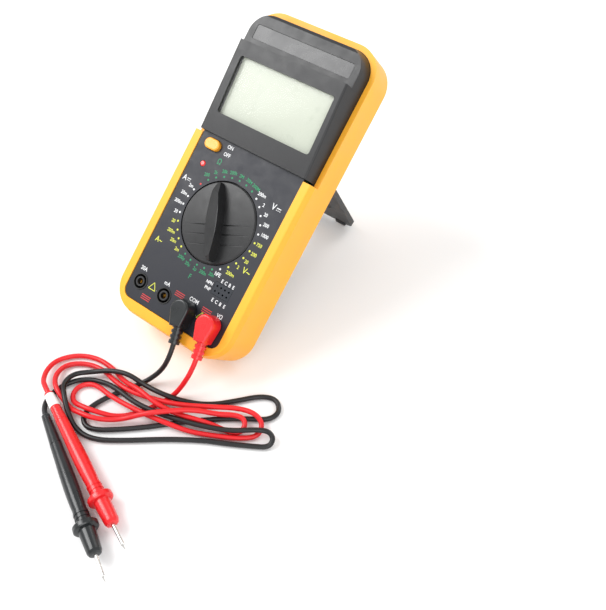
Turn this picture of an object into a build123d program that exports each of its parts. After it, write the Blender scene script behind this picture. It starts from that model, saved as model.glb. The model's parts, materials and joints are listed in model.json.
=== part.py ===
from build123d import *
import math
import os

# Hand-held digital multimeter in a protective holster, leaning back on its tilt stand,
# with its two test leads plugged in and lying in front of it.
# The meter is modelled lying on its back: X across, Y from the bottom edge to the top,
# Z out of the face, with the holster's back at Z = 0. It is stood up when it is written.

# ---- driving dimensions (millimetres, degrees) ----
WIDTH = 88.0                 # holster
LENGTH = 199.5
RIM_Z = 31.0                 # front of the holster's lip
CORNER_R = 18.0
EDGE_R = 2.0                 # rounding of the holster's back edge
BEVEL_H = 4.0                # sloped outer edge of the lip
BEVEL_ANGLE = 21.0
SHOULDER_Z = 23.5            # the holster is cut down to this beside the display
STEP_Y = 116.5
SIDE_WALL = 3.0
BACK_WALL = 2.0
LIP_T = 2.6
GAP = 0.15                   # holster to meter

BODY_W = WIDTH - 2 * (SIDE_WALL + GAP)
BODY_Y0 = SIDE_WALL + 0.4 + GAP
BODY_Y1 = LENGTH - SIDE_WALL - 0.4 - GAP
BODY_L = BODY_Y1 - BODY_Y0
BODY_YC = (BODY_Y0 + BODY_Y1) / 2
BODY_R = CORNER_R - SIDE_WALL
SHELL_T = 2.2                # wall of the two covers
PARTING_Z = 13.0
DECK_Z = RIM_Z - LIP_T - GAP
DECK_IN_Z = DECK_Z - SHELL_T

PANEL_W = 74.0               # printed face panel
PANEL_Y0 = 8.2
PANEL_Y1 = 117.8
PANEL_R = 5.5
PANEL_Z = 30.4
PANEL_T = 0.5

HOOD_Y0 = 118.0              # raised display hood
HOOD_Y1 = 173.6
HOOD_TILT = 5.6
HOOD_Z0 = 33.0
HOOD_Z1 = HOOD_Z0 + (HOOD_Y1 - HOOD_Y0) * math.tan(math.radians(HOOD_TILT))
CAP_Z = 33.6                 # flat section above the hood
SIDE_DRAFT = 12.0
HOOD_IN_W = 70.6

WINDOW_W = 66.6              # display opening
WINDOW_H = 34.8
WINDOW_X = 0.7
WINDOW_Y = 147.65

KNOB_X = 0.4                 # range knob
KNOB_Y = 73.2
KNOB_R = 24.6
KNOB_WELL_R = 25.1
KNOB_WELL_Z = 27.2
KNOB_FLOOR = KNOB_WELL_Z + 0.4
KNOB_RIM_Z = 31.0
KNOB_TOP_Z = 39.6
KNOB_TURN = 22.5             # pointer left of straight up
HUB_R = 5.2
SHAFT_HOLE_R = 5.6

BUTTON_X = -26.5             # power button
BUTTON_Y = 112.2
BUTTON_L = 10.6
BUTTON_W = 6.6
BUTTON_TOP = 33.0
BUTTON_TRAVEL = 2.5

LED_X = -27.4
LED_Y = 99.7
LED_R = 1.75

SOCKET_X = 23.25             # transistor socket
SOCKET_Y = 39.7
SOCKET_W = 12.6
SOCKET_H = 7.4

JACK_Y = 20.0                # four 4 mm safety jacks
JACK_PITCH = 19.05
JACK_X0 = -29.2
JACK_XS = [JACK_X0 + JACK_PITCH * i for i in range(4)]
JACK_BORE_R = 2.0
JACK_TOP = 30.8
COLLAR_R = 5.0
GROOVE_R = 4.4
POST_R = 3.0
CONTACT_TOP = 27.8           # top of the metal contact, down inside the post

BOARD_Z = 16.4               # main circuit board, underside
BOARD_T = 1.6
BOARD_TOP = BOARD_Z + BOARD_T
BOARD_Y0 = 14.2
BOARD_Y1 = 152.0
BOARD_W = 75.0

PAD_W = 66.0                 # back of the meter, showing through the holster
PAD_Y0 = 20.3
PAD_Y1 = 151.7
PAD_Z = 0.6
FLOOR_Z = 7.2                # inside face of the rear cover

PIVOT_Y = 129.8              # tilt stand
PIVOT_Z = 2.6
STAND_W = 58.0
STAND_T = 3.4
LEG = 91.0                   # pivot to foot centre
FOOT_R = 3.0
FOOT_X = 15.0                # inner end of each rubber foot
FOOT_W = 7.0
PIN_R = 1.55
PIN_HOLE_R = 1.6
RECESS_W = STAND_W + 0.8
RECESS_Z = 4.6

LEAN = 39.5                  # the back's slope above the table
COS = math.cos(math.radians(LEAN))
SIN = math.sin(math.radians(LEAN))
DROP = EDGE_R * (SIN + COS - 1)
MID_Y = 67.0                 # centre of the footprint, from the bottom back edge

STOOD = Location((0, -MID_Y, -DROP), (LEAN, 0, 0))
PIVOT_HEIGHT = PIVOT_Y * SIN + PIVOT_Z * COS - DROP
STAND_OPEN = 180 - LEAN - math.degrees(math.asin((PIVOT_HEIGHT - FOOT_R) / LEG))

os.makedirs("parts", exist_ok=True)


def write(piece, label, place=STOOD):
    part = place * piece.part
    part.label = label
    export_step(part, f"parts/{label}.step")


def level(z):
    return Plane.XY.offset(z)


# plane of the display hood's face
HOOD_PLANE = Plane(
    origin=(WINDOW_X, WINDOW_Y, HOOD_Z0 + (WINDOW_Y - HOOD_Y0) * math.tan(math.radians(HOOD_TILT))),
    x_dir=(1, 0, 0),
    z_dir=(0, -math.sin(math.radians(HOOD_TILT)), math.cos(math.radians(HOOD_TILT))),
)


# ---- holster ----
with BuildPart() as holster:
    with BuildSketch():
        with Locations((0, LENGTH / 2)):
            RectangleRounded(WIDTH, LENGTH, CORNER_R)
    extrude(amount=RIM_Z - BEVEL_H)
    extrude(holster.faces().sort_by(Axis.Z)[-1], amount=BEVEL_H, taper=BEVEL_ANGLE)
    fillet(holster.faces().sort_by(Axis.Z)[0].edges(), radius=EDGE_R)
    fillet(holster.faces().sort_by(Axis.Z)[-1].edges(), radius=0.8)
    # the sides are cut down beside the display
    with BuildSketch(level(SHOULDER_Z)):
        with Locations((0, STEP_Y)):
            Rectangle(WIDTH + 4, LENGTH, align=(Align.CENTER, Align.MIN))
    extrude(amount=RIM_Z, mode=Mode.SUBTRACT)
    # pocket for the meter
    with BuildSketch(level(BACK_WALL)):
        with Locations((0, BODY_YC)):
            RectangleRounded(BODY_W + 2 * GAP, BODY_L + 2 * GAP, BODY_R + GAP)
    extrude(amount=RIM_Z - LIP_T - BACK_WALL, mode=Mode.SUBTRACT)
    # opening in the lip, around the printed panel
    with BuildSketch(level(RIM_Z - LIP_T - 1)):
        with Locations((0, PANEL_Y0 - 0.3)):
            RectangleRounded(PANEL_W + 0.6, LENGTH, PANEL_R + 0.3, align=(Align.CENTER, Align.MIN))
    extrude(amount=LIP_T + 2, mode=Mode.SUBTRACT)
    # window in the back, for the stand
    with BuildSketch():
        with Locations((0, (PAD_Y0 + PAD_Y1) / 2)):
            RectangleRounded(PAD_W + 0.4, PAD_Y1 - PAD_Y0 + 0.4, 6.0)
    extrude(amount=BACK_WALL, mode=Mode.SUBTRACT)
write(holster, "holster")

# ---- front cover ----
BOSS_CORNERS = [(-34.6, 10.6), (34.6, 10.6), (-34.0, 188.5), (34.0, 188.5)]
BOARD_BOSSES = [(-34.4, 62.0), (34.4, 62.0), (-34.4, 128.0), (34.4, 128.0)]


def hood_profile(top_drop, y0, y1, z0):
    """Side profile of the display hood, lowered by top_drop, from y0 to y1."""
    slope = math.tan(math.radians(HOOD_TILT))
    Polyline(
        (y0, z0),
        (y0, HOOD_Z0 + (y0 - HOOD_Y0) * slope - top_drop),
        (y1, HOOD_Z0 + (y1 - HOOD_Y0) * slope - top_drop),
        (y1, z0),
        close=True,
    )


with BuildPart() as hood:
    with BuildSketch(level(SHOULDER_Z - 0.5)):
        with Locations((0, BODY_YC)):
            RectangleRounded(BODY_W, BODY_L, BODY_R)
    extrude(amount=18, taper=SIDE_DRAFT)
    with BuildSketch(Plane.YZ):
        with BuildLine():
            hood_profile(0, HOOD_Y0, HOOD_Y1, SHOULDER_Z - 0.5)
        make_face()
        with BuildLine():
            Polyline((HOOD_Y1 - 1, SHOULDER_Z - 0.5), (HOOD_Y1 - 1, CAP_Z), (BODY_Y1 - 4, CAP_Z),
                     (BODY_Y1 + 1, CAP_Z - 4), (BODY_Y1 + 1, SHOULDER_Z - 0.5), close=True)
        make_face()
    extrude(amount=WIDTH, both=True, mode=Mode.INTERSECT)
    fillet(hood.edges().filter_by(GeomType.LINE).filter_by_position(Axis.Z, HOOD_Z0 - 0.1, 40)
           .filter_by(lambda e: abs(e.length - (HOOD_Y1 - HOOD_Y0)) < 2), radius=1.2)

with BuildPart() as front_cover:
    with BuildSketch(level(PARTING_Z)):
        with Locations((0, BODY_YC)):
            RectangleRounded(BODY_W, BODY_L, BODY_R)
    extrude(amount=SHOULDER_Z - PARTING_Z)
    with BuildSketch(level(SHOULDER_Z)):
        with Locations((0, BODY_YC)):
            RectangleRounded(BODY_W, BODY_L, BODY_R)
        with Locations((0, STEP_Y + 0.2)):
            Rectangle(WIDTH, LENGTH, align=(Align.CENTER, Align.MIN), mode=Mode.SUBTRACT)
    extrude(amount=DECK_Z - SHOULDER_Z)
    with BuildSketch(level(DECK_Z)):
        with Locations((0, PANEL_Y0)):
            RectangleRounded(PANEL_W, PANEL_Y1 - PANEL_Y0 + 8, PANEL_R, align=(Align.CENTER, Align.MIN))
        with Locations((0, HOOD_Y0 + 0.5)):
            Rectangle(WIDTH, 40, align=(Align.CENTER, Align.MIN), mode=Mode.SUBTRACT)
    extrude(amount=PANEL_Z - PANEL_T - DECK_Z)
    with BuildSketch(level(SHOULDER_Z - 1)):
        with Locations((0, STEP_Y + 0.2)):
            Rectangle(PANEL_W - 2, 6, align=(Align.CENTER, Align.MIN))
    extrude(amount=DECK_Z - SHOULDER_Z + 1)
    add(hood.part)
    # hollow inside
    with BuildSketch(level(PARTING_Z)):
        with Locations((0, BODY_YC)):
            RectangleRounded(BODY_W - 2 * SHELL_T, BODY_L - 2 * SHELL_T, BODY_R - SHELL_T)
    extrude(amount=DECK_IN_Z - PARTING_Z, mode=Mode.SUBTRACT)
    with BuildSketch(Plane.YZ):
        with BuildLine():
            hood_profile(2.0, HOOD_Y0 + 2.4, HOOD_Y1 - 2.4, DECK_IN_Z - 1)
        make_face()
    extrude(amount=HOOD_IN_W / 2, both=True, mode=Mode.SUBTRACT)
    # screw bosses
    with BuildSketch(level(PARTING_Z + 0.2)):
        with Locations(*BOSS_CORNERS):
            Circle(3.0)
    extrude(amount=DECK_IN_Z - PARTING_Z)
    with BuildSketch(level(BOARD_TOP)):
        with Locations(*BOARD_BOSSES):
            Circle(2.4)
    extrude(amount=DECK_IN_Z - BOARD_TOP + 0.5)
    with Locations(*[Location((x, y, PARTING_Z + 0.2), (180, 0, 0)) for x, y in BOSS_CORNERS]):
        Hole(radius=1.25, depth=9)
    with Locations(*[Location((x, y, BOARD_TOP), (180, 0, 0)) for x, y in BOARD_BOSSES]):
        Hole(radius=1.0, depth=6)
    # well and shaft hole for the knob
    with BuildSketch(level(KNOB_WELL_Z)):
        with Locations((KNOB_X, KNOB_Y)):
            Circle(KNOB_WELL_R)
    extrude(amount=10, mode=Mode.SUBTRACT)
    with BuildSketch(level(DECK_IN_Z)):
        with Locations((KNOB_X, KNOB_Y)):
            Circle(KNOB_WELL_R + 1.0)
            Circle(SHAFT_HOLE_R, mode=Mode.SUBTRACT)
    extrude(amount=KNOB_WELL_Z - DECK_IN_Z - 1.9, mode=Mode.SUBTRACT)
    with BuildSketch(level(DECK_IN_Z - 3)):
        with Locations((KNOB_X, KNOB_Y)):
            Circle(SHAFT_HOLE_R)
        with Locations((BUTTON_X, BUTTON_Y)):
            SlotOverall(BUTTON_L + 0.7, BUTTON_W + 0.7)
        with Locations((LED_X, LED_Y)):
            Circle(LED_R + 0.15)
        with Locations((SOCKET_X, SOCKET_Y)):
            Rectangle(SOCKET_W + 0.3, SOCKET_H + 0.3)
        with Locations(*[(x, JACK_Y) for x in JACK_XS]):
            Circle(COLLAR_R + 0.1)
    extrude(amount=20, mode=Mode.SUBTRACT)
    # display opening
    with BuildSketch(HOOD_PLANE.offset(-4)):
        RectangleRounded(WINDOW_W, WINDOW_H, 1.8)
    extrude(amount=10, mode=Mode.SUBTRACT)
    # shallow recess for the name plate
    with BuildSketch(level(CAP_Z - 0.5)):
        with Locations((0, 181.6)):
            RectangleRounded(68.4, 9.0, 1.0)
    extrude(amount=3, mode=Mode.SUBTRACT)
write(front_cover, "front_cover")

with BuildPart() as name_plate:
    with BuildSketch(level(CAP_Z - 0.5)):
        with Locations((0, 181.6)):
            RectangleRounded(68.0, 8.6, 0.8)
    extrude(amount=0.3)
write(name_plate, "name_plate")

# ---- printed face panel ----
with BuildPart() as face_panel:
    with BuildSketch(level(PANEL_Z - PANEL_T)):
        with Locations((0, PANEL_Y0)):
            RectangleRounded(PANEL_W, PANEL_Y1 - PANEL_Y0 + 8, PANEL_R, align=(Align.CENTER, Align.MIN))
        with Locations((0, PANEL_Y1)):
            Rectangle(WIDTH, 40, align=(Align.CENTER, Align.MIN), mode=Mode.SUBTRACT)
        with Locations((KNOB_X, KNOB_Y)):
            Circle(KNOB_WELL_R, mode=Mode.SUBTRACT)
        with Locations((BUTTON_X, BUTTON_Y)):
            SlotOverall(BUTTON_L + 0.7, BUTTON_W + 0.7, mode=Mode.SUBTRACT)
        with Locations((LED_X, LED_Y)):
            Circle(LED_R + 0.15, mode=Mode.SUBTRACT)
        with Locations((SOCKET_X, SOCKET_Y)):
            Rectangle(SOCKET_W + 0.3, SOCKET_H + 0.3, mode=Mode.SUBTRACT)
        with Locations(*[(x, JACK_Y) for x in JACK_XS]):
            Circle(COLLAR_R + 0.1, mode=Mode.SUBTRACT)
    extrude(amount=PANEL_T)
write(face_panel, "face_panel")

# ---- display ----
with BuildPart() as display_window:
    with BuildSketch(HOOD_PLANE.offset(-3.2)):
        RectangleRounded(WINDOW_W + 2.4, WINDOW_H + 2.4, 2.0)
    extrude(amount=1.2)
write(display_window, "display_window")

with BuildPart() as lcd_glass:
    with BuildSketch(HOOD_PLANE.offset(-5.6)):
        Rectangle(WINDOW_W - 0.6, WINDOW_H + 1.0)
    extrude(amount=2.2)
write(lcd_glass, "lcd_glass")

with BuildPart() as lcd_frame:
    with BuildSketch(HOOD_PLANE.offset(-7.8)):
        Rectangle(WINDOW_W + 1.6, WINDOW_H + 2.0)
        Rectangle(WINDOW_W - 0.4, WINDOW_H + 1.2, mode=Mode.SUBTRACT)
    extrude(amount=4.4)
write(lcd_frame, "lcd_frame")

with BuildPart() as zebra_strips:
    with BuildSketch(HOOD_PLANE.offset(-7.8)):
        with Locations((0, -15.4), (0, 15.4)):
            Rectangle(WINDOW_W - 6, 2.0)
    extrude(amount=2.2)
write(zebra_strips, "zebra_strips")

with BuildPart() as display_board:
    with BuildSketch(HOOD_PLANE.offset(-9.0)):
        Rectangle(WINDOW_W + 1.6, WINDOW_H + 1.6)
    extrude(amount=1.2)
write(display_board, "display_board")

# ---- main circuit board and what is on it ----
with BuildPart() as circuit_board:
    with BuildSketch(level(BOARD_Z)):
        with Locations((0, BOARD_Y0)):
            Rectangle(BOARD_W, BOARD_Y1 - BOARD_Y0, align=(Align.CENTER, Align.MIN))
        with Locations(*BOARD_BOSSES):
            Circle(1.3, mode=Mode.SUBTRACT)
        with Locations((KNOB_X, KNOB_Y)):
            Circle(3.6, mode=Mode.SUBTRACT)
    extrude(amount=BOARD_T)
write(circuit_board, "circuit_board")

with BuildPart() as board_screws:
    for boss_x, boss_y in BOARD_BOSSES:
        with BuildSketch(level(BOARD_Z - 1.4)):
            with Locations((boss_x, boss_y)):
                Circle(2.2)
        extrude(amount=1.4)
        with BuildSketch(level(BOARD_Z)):
            with Locations((boss_x, boss_y)):
                Circle(0.95)
        extrude(amount=6)
        with BuildSketch(level(BOARD_Z - 1.4)):
            with Locations((boss_x, boss_y)):
                Rectangle(2.8, 0.6)
                Rectangle(0.6, 2.8)
        extrude(amount=0.7, mode=Mode.SUBTRACT)
write(board_screws, "board_screws")

with BuildPart() as controller_chip:
    with BuildSketch(level(BOARD_TOP)):
        with Locations((4, 118)):
            Rectangle(14, 20)
    extrude(amount=2.4)
    chamfer(controller_chip.faces().sort_by(Axis.Z)[-1].edges(), length=0.4)
write(controller_chip, "controller_chip")

with BuildPart() as buzzer:
    with BuildSketch(level(BOARD_TOP)):
        with Locations((22, 116)):
            Circle(7)
    extrude(amount=3.2)
    with BuildSketch(level(BOARD_TOP + 2)):
        with Locations((22, 116)):
            Circle(1)
    extrude(amount=3, mode=Mode.SUBTRACT)
write(buzzer, "buzzer")

RESISTOR_XS = [-20, -15, -10, -5, 0]
with BuildPart() as board_components:
    with BuildSketch(level(BOARD_Z - 2.4)):
        with Locations(*[(x, 36) for x in RESISTOR_XS]):
            Rectangle(2.4, 7)
        with GridLocations(9, 12, 4, 2):
            with Locations((0, 108)):
                Rectangle(4, 7)
    extrude(amount=2.4)
    with BuildSketch(level(BOARD_TOP)):
        with Locations((-8, 104), (-16, 122), (30, 102)):
            Circle(2.5)
    extrude(amount=6.5)
    with BuildSketch(level(BOARD_TOP)):
        with Locations((-10, 30), (-6, 138), (14, 138)):
            Rectangle(5, 3)
    extrude(amount=4)
write(board_components, "board_components")

FUSE_X = -32.5
FUSE_Y = 42.0
with BuildPart() as fuse:
    with BuildSketch(Plane.XZ.offset(-FUSE_Y + 10)):
        with Locations((FUSE_X, BOARD_TOP + 4.0)):
            Circle(2.6)
    extrude(amount=-20)
write(fuse, "fuse")

with BuildPart() as fuse_clips:
    for clip_y in (FUSE_Y - 7.5, FUSE_Y + 7.5):
        with BuildSketch(level(BOARD_TOP)):
            with Locations((FUSE_X, clip_y)):
                Rectangle(6.6, 3.4)
        extrude(amount=0.8)
        for clip_side in (-1, 1):
            with BuildSketch(level(BOARD_TOP)):
                with Locations((FUSE_X + clip_side * 3.0, clip_y)):
                    Rectangle(0.6, 3.4)
            extrude(amount=5.5)
write(fuse_clips, "fuse_clips")

with BuildPart() as shunt_wire:
    with BuildLine():
        FilletPolyline((JACK_XS[0], 29, BOARD_Z), (JACK_XS[0], 29, 10.5), (JACK_XS[2], 29, 10.5),
                       (JACK_XS[2], 29, BOARD_Z), radius=3)
    with BuildSketch(Plane(origin=(JACK_XS[0], 29, BOARD_Z), z_dir=(0, 0, -1))):
        Circle(0.9)
    sweep()
write(shunt_wire, "shunt_wire")

with BuildPart() as shield_plate:
    with BuildSketch(level(FLOOR_Z + 0.2)):
        with Locations((0, 78)):
            Rectangle(64, 120)
    extrude(amount=0.3)
write(shield_plate, "shield_plate")

# ---- jacks ----
with BuildPart() as jack_insulators:
    for jack_x in JACK_XS:
        with BuildSketch(level(BOARD_TOP)):
            with Locations((jack_x, JACK_Y)):
                Circle(COLLAR_R)
                Circle(JACK_BORE_R, mode=Mode.SUBTRACT)
        extrude(amount=JACK_TOP - BOARD_TOP)
        with BuildSketch(level(BOARD_TOP)):
            with Locations((jack_x, JACK_Y)):
                Circle(2.52)
        extrude(amount=CONTACT_TOP - BOARD_TOP, mode=Mode.SUBTRACT)
        with BuildSketch(level(BOARD_TOP + 2)):
            with Locations((jack_x, JACK_Y)):
                Circle(GROOVE_R)
                Circle(POST_R, mode=Mode.SUBTRACT)
        extrude(amount=20, mode=Mode.SUBTRACT)
write(jack_insulators, "jack_insulators")

with BuildPart() as jack_sockets:
    with BuildSketch(level(BOARD_Z + BOARD_T)):
        with Locations(*[(x, JACK_Y) for x in JACK_XS]):
            Circle(2.5)
    extrude(amount=CONTACT_TOP - BOARD_TOP)
    with BuildSketch(level(BOARD_TOP + 1)):
        with Locations(*[(x, JACK_Y) for x in JACK_XS]):
            Circle(JACK_BORE_R)
    extrude(amount=20, mode=Mode.SUBTRACT)
write(jack_sockets, "jack_sockets")

with BuildPart() as transistor_socket:
    with BuildSketch(level(BOARD_TOP)):
        with Locations((SOCKET_X, SOCKET_Y)):
            Rectangle(SOCKET_W, SOCKET_H)
    extrude(amount=PANEL_Z - BOARD_TOP)
    with BuildSketch(level(PANEL_Z - 6)):
        with Locations((SOCKET_X, SOCKET_Y)):
            with GridLocations(2.84, 3.2, 4, 2):
                Circle(0.6)
    extrude(amount=10, mode=Mode.SUBTRACT)
write(transistor_socket, "transistor_socket")

with BuildPart() as power_lamp:
    with BuildSketch(level(BOARD_TOP)):
        with Locations((LED_X, LED_Y)):
            Circle(LED_R)
    extrude(amount=PANEL_Z + 0.6 - BOARD_TOP)
    fillet(power_lamp.faces().sort_by(Axis.Z)[-1].edges(), radius=0.8)
write(power_lamp, "power_lamp")

# ---- power switch and its button ----
with BuildPart() as power_switch:
    with BuildSketch(level(BOARD_TOP)):
        with Locations((BUTTON_X, BUTTON_Y)):
            Rectangle(9, 8)
            Rectangle(3.8, 3.8, mode=Mode.SUBTRACT)
    extrude(amount=3.4)
write(power_switch, "power_switch")

with BuildPart() as power_button:
    with BuildSketch(level(24.3)):
        with Locations((BUTTON_X, BUTTON_Y)):
            SlotOverall(BUTTON_L + 2.4, BUTTON_W + 2.4)
    extrude(amount=1.3)
    with BuildSketch(level(25.6)):
        with Locations((BUTTON_X, BUTTON_Y)):
            SlotOverall(BUTTON_L, BUTTON_W)
    extrude(amount=BUTTON_TOP - 25.6)
    fillet(power_button.faces().sort_by(Axis.Z)[-1].edges(), radius=0.9)
write(power_button, "power_button")

with BuildPart() as switch_plunger:
    with BuildSketch(level(BOARD_TOP + 2.8)):
        with Locations((BUTTON_X, BUTTON_Y)):
            Rectangle(3.0, 3.0)
    extrude(amount=24.3 - BOARD_TOP - 2.8)
write(switch_plunger, "switch_plunger")

# ---- range knob and its rotor ----
# The knob is built with its bar along Y, then turned to its rest position.
KNOB_AT = STOOD * Location((KNOB_X, KNOB_Y, 0), (0, 0, KNOB_TURN))

with BuildPart() as range_knob:
    with BuildSketch(Plane.XZ):
        with BuildLine():
            Polyline((0, KNOB_FLOOR), (KNOB_R, KNOB_FLOOR), (KNOB_R, KNOB_RIM_Z - 0.8),
                     (KNOB_R - 0.8, KNOB_RIM_Z), (0, KNOB_RIM_Z + 1.6), close=True)
        make_face()
    revolve(axis=Axis.Z)
    # the raised bar: lens-shaped from above, sloping to the left, its ends cut back
    with BuildSketch(level(KNOB_RIM_Z - 1), mode=Mode.PRIVATE) as bar_foot:
        with BuildLine():
            ThreePointArc((-1.0, KNOB_R - 1.4), (-5.0, 0), (-1.0, -KNOB_R + 1.4))
            Line((-1.0, -KNOB_R + 1.4), (1.0, -KNOB_R + 1.4))
            ThreePointArc((1.0, -KNOB_R + 1.4), (4.6, 0), (1.0, KNOB_R - 1.4))
            Line((1.0, KNOB_R - 1.4), (-1.0, KNOB_R - 1.4))
        make_face()
    with BuildPart(mode=Mode.PRIVATE) as bar:
        extrude(bar_foot.sketch, amount=KNOB_TOP_Z - KNOB_RIM_Z + 1, taper=3)
        with BuildSketch(Plane.XZ):
            with BuildLine():
                Polyline((-8, KNOB_RIM_Z + 5.0), (3.4, KNOB_TOP_Z), (8, KNOB_TOP_Z), (8, KNOB_TOP_Z + 9),
                         (-8, KNOB_TOP_Z + 9), close=True)
            make_face()
        extrude(amount=KNOB_R, both=True, mode=Mode.SUBTRACT)
        with BuildSketch(Plane.YZ):
            with BuildLine():
                Polyline((15.0, KNOB_TOP_Z), (KNOB_R, KNOB_RIM_Z + 3.0), (KNOB_R + 2, KNOB_TOP_Z + 2),
                         (15.0, KNOB_TOP_Z + 2), close=True)
            make_face()
            with BuildLine():
                Polyline((-19.0, KNOB_TOP_Z), (-KNOB_R, KNOB_RIM_Z + 4.0), (-KNOB_R - 2, KNOB_TOP_Z + 2),
                         (-19.0, KNOB_TOP_Z + 2), close=True)
            make_face()
        extrude(amount=KNOB_R, both=True, mode=Mode.SUBTRACT)
    # three shallow finger steps on each side of the bar
    for step_side in (-1, 1):
        for step_y in (-1.5, -7.0, -13.0):
            with BuildSketch(level(KNOB_RIM_Z + 0.1)):
                with Locations((step_side * 11.5, step_y)):
                    Rectangle(20.0 + step_y * 0.35, 0.8)
            extrude(amount=3, mode=Mode.SUBTRACT)
    add(bar.part)
    # hub
    with BuildSketch(level(24.4)):
        Circle(HUB_R)
    extrude(amount=KNOB_FLOOR - 24.4 + 0.2)
write(range_knob, "range_knob", KNOB_AT)

ROTOR_Z0 = 19.4
ROTOR_Z1 = 24.0
ROTOR_R = 21.0
with BuildPart() as wiper_rotor:
    with BuildSketch(level(ROTOR_Z0)):
        Circle(ROTOR_R)
        Circle(1.6, mode=Mode.SUBTRACT)
    extrude(amount=ROTOR_Z1 - ROTOR_Z0)
    with BuildSketch(level(ROTOR_Z1)):
        Circle(HUB_R)
        Circle(1.6, mode=Mode.SUBTRACT)
    extrude(amount=0.4)
    with BuildSketch(Plane.XZ.offset(ROTOR_R + 1)):
        with Locations((0, 21.8)):
            Circle(1.55)
    extrude(amount=-2 * (ROTOR_R + 1), mode=Mode.SUBTRACT)
    with BuildSketch(level(ROTOR_Z0)):
        Circle(12.0)
        Circle(1.6, mode=Mode.SUBTRACT)
    extrude(amount=ROTOR_Z1 - ROTOR_Z0 + 0.2)
write(wiper_rotor, "wiper_rotor", KNOB_AT)

with BuildPart() as rotor_screw:
    with BuildSketch(level(ROTOR_Z0 - 1.0)):
        Circle(2.8)
    extrude(amount=1.0)
    with BuildSketch(level(ROTOR_Z0)):
        Circle(1.5)
    extrude(amount=5.0)
write(rotor_screw, "rotor_screw", KNOB_AT)

with BuildPart() as wiper_contacts:
    for contact_angle in (45, 135, 225, 315):
        with BuildSketch(level(ROTOR_Z0 - 0.8)):
            with PolarLocations(14.0, 1, start_angle=contact_angle):
                Rectangle(8.0, 2.4)
        extrude(amount=0.8)
write(wiper_contacts, "wiper_contacts", KNOB_AT)

with BuildPart() as detent_springs:
    for spring_side in (-1, 1):
        with BuildSketch(Plane.XZ.offset(-spring_side * 12.6)):
            with Locations((0, 21.8)):
                Circle(1.3)
                Circle(0.9, mode=Mode.SUBTRACT)
        extrude(amount=-spring_side * 6.9)
write(detent_springs, "detent_springs", KNOB_AT)

with BuildPart() as detent_balls:
    with Locations((0, -21.0, 21.8), (0, 21.0, 21.8)):
        Sphere(1.5)
write(detent_balls, "detent_balls", KNOB_AT)

# Scalloped ring that the balls click into: one scallop for each of the 32 positions.
with BuildPart() as detent_ring:
    with BuildSketch(level(BOARD_TOP + 1.0)):
        Circle(25.0)
        Circle(23.0, mode=Mode.SUBTRACT)
        with PolarLocations(23.6, 32):
            Circle(1.2, mode=Mode.SUBTRACT)
    extrude(amount=6.0)
write(detent_ring, "detent_ring", STOOD * Location((KNOB_X, KNOB_Y, 0)))

# ---- rear cover, battery and fasteners ----
BATTERY_Y0 = 159.5
DOOR_Y0 = 156.0
DOOR_Y1 = 187.0
DOOR_W = 56.0
REAR_Z = BACK_WALL + GAP

with BuildPart() as rear_cover:
    with BuildSketch(level(REAR_Z)):
        with Locations((0, BODY_YC)):
            RectangleRounded(BODY_W, BODY_L, BODY_R)
    extrude(amount=PARTING_Z - REAR_Z)
    with BuildSketch(level(PAD_Z)):
        with Locations((0, (PAD_Y0 + PAD_Y1) / 2)):
            RectangleRounded(PAD_W, PAD_Y1 - PAD_Y0, 5.8)
    extrude(amount=REAR_Z - PAD_Z)
    with BuildSketch(level(FLOOR_Z)):
        with Locations((0, BODY_YC)):
            RectangleRounded(BODY_W - 2 * SHELL_T, BODY_L - 2 * SHELL_T, BODY_R - SHELL_T)
    extrude(amount=20, mode=Mode.SUBTRACT)
    with BuildSketch(level(REAR_Z + 2)):
        with Locations((0, (154 + BODY_Y1 - SHELL_T) / 2)):
            Rectangle(60, BODY_Y1 - SHELL_T - 154)
    extrude(amount=20, mode=Mode.SUBTRACT)
    # battery opening
    with BuildSketch():
        with Locations((0, (DOOR_Y0 + DOOR_Y1) / 2)):
            Rectangle(DOOR_W + 0.4, DOOR_Y1 - DOOR_Y0 + 0.4)
    extrude(amount=10, mode=Mode.SUBTRACT)
    # recess for the folded stand, with its pivot sockets
    with BuildSketch():
        with Locations((0, PIVOT_Y + 2.6)):
            Rectangle(RECESS_W, LEG + 7.6, align=(Align.CENTER, Align.MAX))
    extrude(amount=RECESS_Z, mode=Mode.SUBTRACT)
    with BuildSketch():
        with Locations((-FOOT_X - FOOT_W / 2, PIVOT_Y - LEG), (FOOT_X + FOOT_W / 2, PIVOT_Y - LEG)):
            Rectangle(FOOT_W + 1.6, 2 * FOOT_R + 1.6)
    extrude(amount=PIVOT_Z + FOOT_R + 0.5, mode=Mode.SUBTRACT)
    with BuildSketch(Plane.YZ.offset(-STAND_W / 2 - 2.0)):
        with Locations((PIVOT_Y, PIVOT_Z)):
            Circle(PIN_HOLE_R)
    extrude(amount=STAND_W + 4.0, mode=Mode.SUBTRACT)
    # screw posts
    with BuildSketch(level(4.0)):
        with Locations(*BOSS_CORNERS):
            Circle(3.0)
    extrude(amount=PARTING_Z - 4.0)
    with BuildSketch():
        with Locations(*BOSS_CORNERS):
            Circle(1.5)
    extrude(amount=PARTING_Z + 1, mode=Mode.SUBTRACT)
    with BuildSketch():
        with Locations(*BOSS_CORNERS):
            Circle(2.6)
    extrude(amount=5.0, mode=Mode.SUBTRACT)
write(rear_cover, "rear_cover")

with BuildPart() as case_screws:
    for boss_x, boss_y in BOSS_CORNERS:
        with BuildSketch(level(3.0)):
            with Locations((boss_x, boss_y)):
                Circle(2.4)
        extrude(amount=2.0)
        with BuildSketch(level(5.0)):
            with Locations((boss_x, boss_y)):
                Circle(1.2)
        extrude(amount=14.0)
        with BuildSketch(level(3.0)):
            with Locations((boss_x, boss_y)):
                Rectangle(3.2, 0.7)
                Rectangle(0.7, 3.2)
        extrude(amount=1.0, mode=Mode.SUBTRACT)
write(case_screws, "case_screws")

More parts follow.
